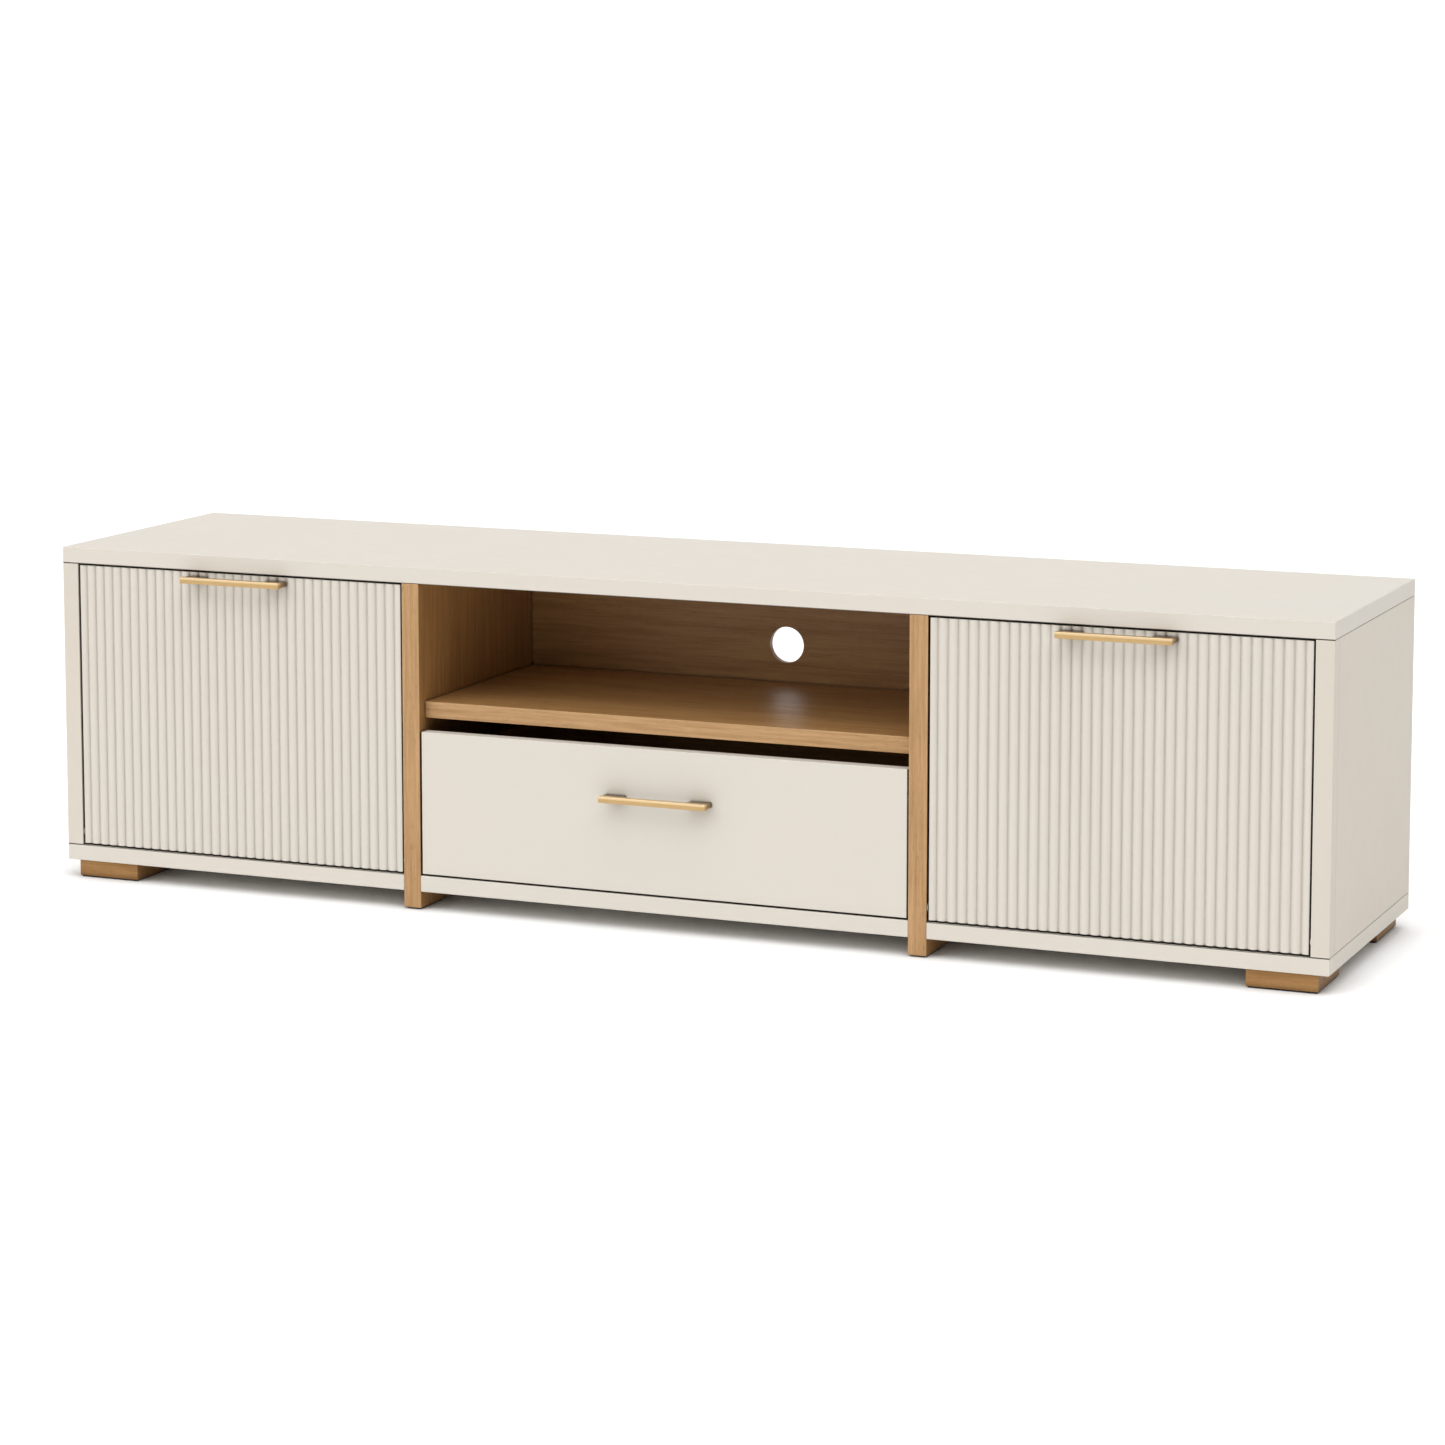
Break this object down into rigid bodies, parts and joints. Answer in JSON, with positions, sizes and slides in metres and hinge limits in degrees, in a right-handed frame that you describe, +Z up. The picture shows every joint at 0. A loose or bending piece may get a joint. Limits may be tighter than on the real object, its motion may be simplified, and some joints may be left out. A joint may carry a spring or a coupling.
{
  "type": "media cabinet",
  "caption": "Long low media cabinet with reeded drop-down doors either side of an open oak niche with a cable hole over a drawer, bar handles and block feet.",
  "frame": {"origin": "on the floor, at the middle of the overall box, handles included", "axes": "+X to the right as seen from the front, +Y to the back, +Z up; the doors and drawer face -Y"},
  "size_m": [1.8, 0.438, 0.465],
  "materials": {
    "painted_board": "smooth satin paint in warm off-white",
    "oak_board": "matt light oak grain",
    "oak_foot": "matt light oak grain",
    "drawer_box": "clear-lacquered pale wood",
    "thin_back": "painted hardboard",
    "dowel_wood": "fluted beech",
    "gold_handle": "brushed satin gold",
    "runner_steel": "zinc-plated, satin",
    "fitting_steel": "nickel-plated, satin",
    "screw_steel": "zinc-plated",
    "white_nylon": "moulded, matt",
    "floor_pad": "dark felt"
  },
  "bodies": {
    "cabinet": {"top_panel": "painted_board", "left_side_panel": "painted_board", "right_side_panel": "painted_board", "left_divider": "oak_board", "right_divider": "oak_board", "left_bottom_panel": "painted_board", "middle_bottom_panel": "painted_board", "right_bottom_panel": "painted_board", "niche_shelf": "oak_board", "niche_back_panel": "oak_board", "left_back_panel": "thin_back", "right_back_panel": "thin_back", "drawer_bay_back_panel": "thin_back", "front_left_foot": "oak_foot", "front_right_foot": "oak_foot", "rear_left_foot": "oak_foot", "rear_right_foot": "oak_foot", "floor_pads": "floor_pad", "foot_screws": "screw_steel", "dowels": "dowel_wood", "cam_discs": "screw_steel", "cam_bolts": "screw_steel", "fitting_screws": "screw_steel", "left_door_pivot_bushes": "white_nylon", "left_door_magnet_catch": "white_nylon", "left_stay_wall_plate": "fitting_steel", "left_runner_cabinet_member": "runner_steel", "right_door_pivot_bushes": "white_nylon", "right_door_magnet_catch": "white_nylon", "right_stay_wall_plate": "fitting_steel", "right_runner_cabinet_member": "runner_steel"},
    "left_door": {"left_door_panel": "painted_board", "left_door_handle": "gold_handle", "left_door_handle_screws": "screw_steel", "left_door_pivot_pins": "fitting_steel", "left_door_strike_plate": "fitting_steel", "left_stay_door_bracket": "fitting_steel"},
    "left_stay_rod": {"left_stay_rod": "fitting_steel"},
    "left_stay_swivel": {"left_stay_swivel_block": "fitting_steel"},
    "left_runner_middle": {"left_runner_middle_member": "runner_steel"},
    "right_door": {"right_door_panel": "painted_board", "right_door_handle": "gold_handle", "right_door_handle_screws": "screw_steel", "right_door_pivot_pins": "fitting_steel", "right_door_strike_plate": "fitting_steel", "right_stay_door_bracket": "fitting_steel"},
    "right_stay_rod": {"right_stay_rod": "fitting_steel"},
    "right_stay_swivel": {"right_stay_swivel_block": "fitting_steel"},
    "right_runner_middle": {"right_runner_middle_member": "runner_steel"},
    "drawer": {"drawer_front": "painted_board", "drawer_left_side": "drawer_box", "drawer_right_side": "drawer_box", "drawer_back": "drawer_box", "drawer_bottom": "thin_back", "drawer_handle": "gold_handle", "drawer_handle_screws": "screw_steel", "drawer_runner_screws": "screw_steel", "left_runner_drawer_member": "runner_steel", "right_runner_drawer_member": "runner_steel"}
  },
  "joints": [
    {"name": "left_door_hinge", "type": "hinge", "parent": "cabinet", "child": "left_door", "pos_m": [-0.625, -0.188, 0.0655], "axis": [1, 0, 0], "range_deg": [0, 90]},
    {"name": "left_stay_rod_pivot", "type": "hinge", "parent": "left_door", "child": "left_stay_rod", "pos_m": [-0.866, -0.168, 0.2555], "axis": [1, 0, 0], "range_deg": [-46, 1]},
    {"name": "left_stay_swivel_turn", "type": "hinge", "parent": "cabinet", "child": "left_stay_swivel", "pos_m": [-0.866, -0.0652, 0.21185], "axis": [1, 0, 0], "range_deg": [-1, 46]},
    {"name": "right_door_hinge", "type": "hinge", "parent": "cabinet", "child": "right_door", "pos_m": [0.625, -0.188, 0.0655], "axis": [1, 0, 0], "range_deg": [0, 90]},
    {"name": "right_stay_rod_pivot", "type": "hinge", "parent": "right_door", "child": "right_stay_rod", "pos_m": [0.866, -0.168, 0.2555], "axis": [1, 0, 0], "range_deg": [-46, 1]},
    {"name": "right_stay_swivel_turn", "type": "hinge", "parent": "cabinet", "child": "right_stay_swivel", "pos_m": [0.866, -0.0652, 0.21185], "axis": [1, 0, 0], "range_deg": [-1, 46]},
    {"name": "drawer_slide", "type": "slide", "parent": "cabinet", "child": "drawer", "axis": [0, -1, 0], "range_m": [0, 0.33]},
    {"name": "left_runner_extend", "type": "slide", "parent": "cabinet", "child": "left_runner_middle", "axis": [0, -1, 0], "range_m": [-0.001, 0.166]},
    {"name": "right_runner_extend", "type": "slide", "parent": "cabinet", "child": "right_runner_middle", "axis": [0, -1, 0], "range_m": [-0.001, 0.166]}
  ],
  "couplings": [
    {"joint": "left_stay_rod_pivot", "follows": "left_door_hinge", "ratio": -0.5},
    {"joint": "left_stay_swivel_turn", "follows": "left_door_hinge", "ratio": 0.5},
    {"joint": "right_stay_rod_pivot", "follows": "right_door_hinge", "ratio": -0.5},
    {"joint": "right_stay_swivel_turn", "follows": "right_door_hinge", "ratio": 0.5},
    {"joint": "left_runner_extend", "follows": "drawer_slide", "ratio": 0.5},
    {"joint": "right_runner_extend", "follows": "drawer_slide", "ratio": 0.5}
  ]
}
